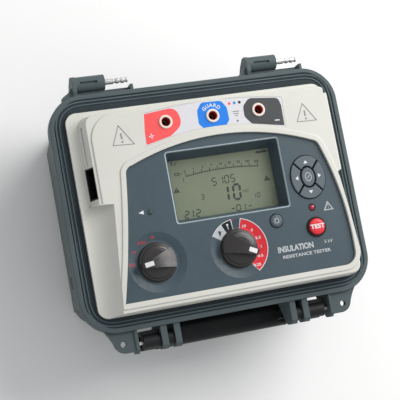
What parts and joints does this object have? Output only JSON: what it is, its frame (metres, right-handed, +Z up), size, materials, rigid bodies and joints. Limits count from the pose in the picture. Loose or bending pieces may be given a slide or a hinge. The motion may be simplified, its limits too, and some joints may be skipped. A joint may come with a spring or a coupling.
{
  "type": "insulation resistance tester",
  "caption": "Portable insulation resistance tester in a rugged case with lid removed: display, rotary selectors, keypad, terminals, carrying handle and latches.",
  "frame": {"origin": "centre of the case body in plan, on the plane that the feet rest on", "axes": "+X to the right along the front, +Y to the hinge side, +Z up out of the control panel"},
  "size_m": [0.31, 0.283, 0.145],
  "materials": {
    "case_plastic": "fine moulded texture, slate grey",
    "seal_rubber": "soft dark seal",
    "foot_rubber": "black rubber",
    "steel": "turned steel",
    "black_plastic": "satin black moulding",
    "panel_plastic": "fine texture, warm light grey",
    "fascia_plastic": "satin slate blue-grey",
    "window_clear": "clear display window",
    "lcd_face": "grey-green liquid crystal",
    "white_plastic": "white diffuser",
    "overlay_film": "printed film",
    "module_black": "potted block",
    "knob_plastic": "satin dark knob",
    "pointer_white": "white insert",
    "key_rubber": "grey key",
    "backlight_grey": "grey-blue button",
    "test_red": "red button",
    "board_green": "solder resist",
    "led_red": "deep red lens",
    "led_green": "unlit lens",
    "battery_wrap": "shrink wrap",
    "transformer_iron": "laminated core",
    "collar_plastic": "cream insulating plastic",
    "sleeve_red": "dark red insulating sleeve",
    "brass": "bright contact"
  },
  "bodies": {
    "base": {"case_base": "case_plastic", "rim_seal": "seal_rubber", "rubber_feet": "foot_rubber", "hinge_pin_left": "steel", "hinge_pin_right": "steel", "handle_pins": "steel", "latch_pins": "steel", "panel_bezel": "panel_plastic", "control_fascia": "fascia_plastic", "display_window": "window_clear", "lcd_panel": "lcd_face", "lcd_backlight": "white_plastic", "terminal_overlay": "overlay_film", "terminal_nuts": "module_black", "mode_switch": "module_black", "mode_switch_nut": "steel", "function_switch": "module_black", "function_switch_nut": "steel", "test_button_ring": "black_plastic", "keypad_mat": "module_black", "keypad_board": "board_green", "warning_led": "led_red", "status_led": "led_green", "mains_inlet": "module_black", "inlet_pins": "steel", "main_board": "board_green", "board_standoffs": "white_plastic", "board_screws": "steel", "high_voltage_module": "module_black", "battery_pack": "battery_wrap", "battery_clamp": "steel", "mains_transformer": "transformer_iron", "panel_screws": "steel", "terminal_collar_positive": "collar_plastic", "terminal_sleeve_positive": "sleeve_red", "terminal_contact_positive": "brass", "terminal_collar_guard": "collar_plastic", "terminal_sleeve_guard": "sleeve_red", "terminal_contact_guard": "brass", "terminal_collar_negative": "collar_plastic", "terminal_sleeve_negative": "sleeve_red", "terminal_contact_negative": "brass"},
    "handle": {"carry_handle": "black_plastic"},
    "latch_left": {"latch_left": "black_plastic"},
    "latch_right": {"latch_right": "black_plastic"},
    "mode_knob": {"mode_knob": "knob_plastic", "mode_pointer": "pointer_white", "mode_shaft": "steel"},
    "function_knob": {"function_knob": "knob_plastic", "function_pointer": "pointer_white", "function_shaft": "steel"},
    "key_up": {"key_up": "key_rubber"},
    "key_down": {"key_down": "key_rubber"},
    "key_left": {"key_left": "key_rubber"},
    "key_right": {"key_right": "key_rubber"},
    "key_enter": {"key_enter": "key_rubber"},
    "backlight_button": {"backlight_button": "backlight_grey"},
    "test_button": {"test_button": "test_red"}
  },
  "joints": [
    {"name": "handle_swing", "type": "hinge", "parent": "base", "child": "handle", "pos_m": [0, -0.1335, 0.106], "axis": [-1, 0, 0], "range_deg": [0, 100]},
    {"name": "latch_left_swing", "type": "hinge", "parent": "base", "child": "latch_left", "pos_m": [-0.0884, -0.1335, 0.106], "axis": [-1, 0, 0], "range_deg": [0, 178]},
    {"name": "latch_right_swing", "type": "hinge", "parent": "base", "child": "latch_right", "pos_m": [0.0884, -0.1335, 0.106], "axis": [-1, 0, 0], "range_deg": [0, 178]},
    {"name": "mode_turn", "type": "hinge", "parent": "base", "child": "mode_knob", "pos_m": [-0.074, -0.0587, 0.15], "axis": [0, 0, 1], "range_deg": [-90, 0]},
    {"name": "function_turn", "type": "hinge", "parent": "base", "child": "function_knob", "pos_m": [0.0117, -0.0587, 0.15], "axis": [0, 0, 1], "range_deg": [-23, 161]},
    {"name": "key_up_press", "type": "slide", "parent": "base", "child": "key_up", "axis": [0, 0, -1], "range_m": [0, 0.0012], "stiffness_N_per_m": 600, "springref_m": -0.0008},
    {"name": "key_down_press", "type": "slide", "parent": "base", "child": "key_down", "axis": [0, 0, -1], "range_m": [0, 0.0012], "stiffness_N_per_m": 600, "springref_m": -0.0008},
    {"name": "key_left_press", "type": "slide", "parent": "base", "child": "key_left", "axis": [0, 0, -1], "range_m": [0, 0.0012], "stiffness_N_per_m": 600, "springref_m": -0.0008},
    {"name": "key_right_press", "type": "slide", "parent": "base", "child": "key_right", "axis": [0, 0, -1], "range_m": [0, 0.0012], "stiffness_N_per_m": 600, "springref_m": -0.0008},
    {"name": "key_enter_press", "type": "slide", "parent": "base", "child": "key_enter", "axis": [0, 0, -1], "range_m": [0, 0.0012], "stiffness_N_per_m": 600, "springref_m": -0.0008},
    {"name": "backlight_press", "type": "slide", "parent": "base", "child": "backlight_button", "axis": [0, 0, -1], "range_m": [0, 0.0012], "stiffness_N_per_m": 600, "springref_m": -0.0008},
    {"name": "test_press", "type": "slide", "parent": "base", "child": "test_button", "axis": [0, 0, -1], "range_m": [0, 0.002], "stiffness_N_per_m": 700, "springref_m": -0.0008}
  ]
}
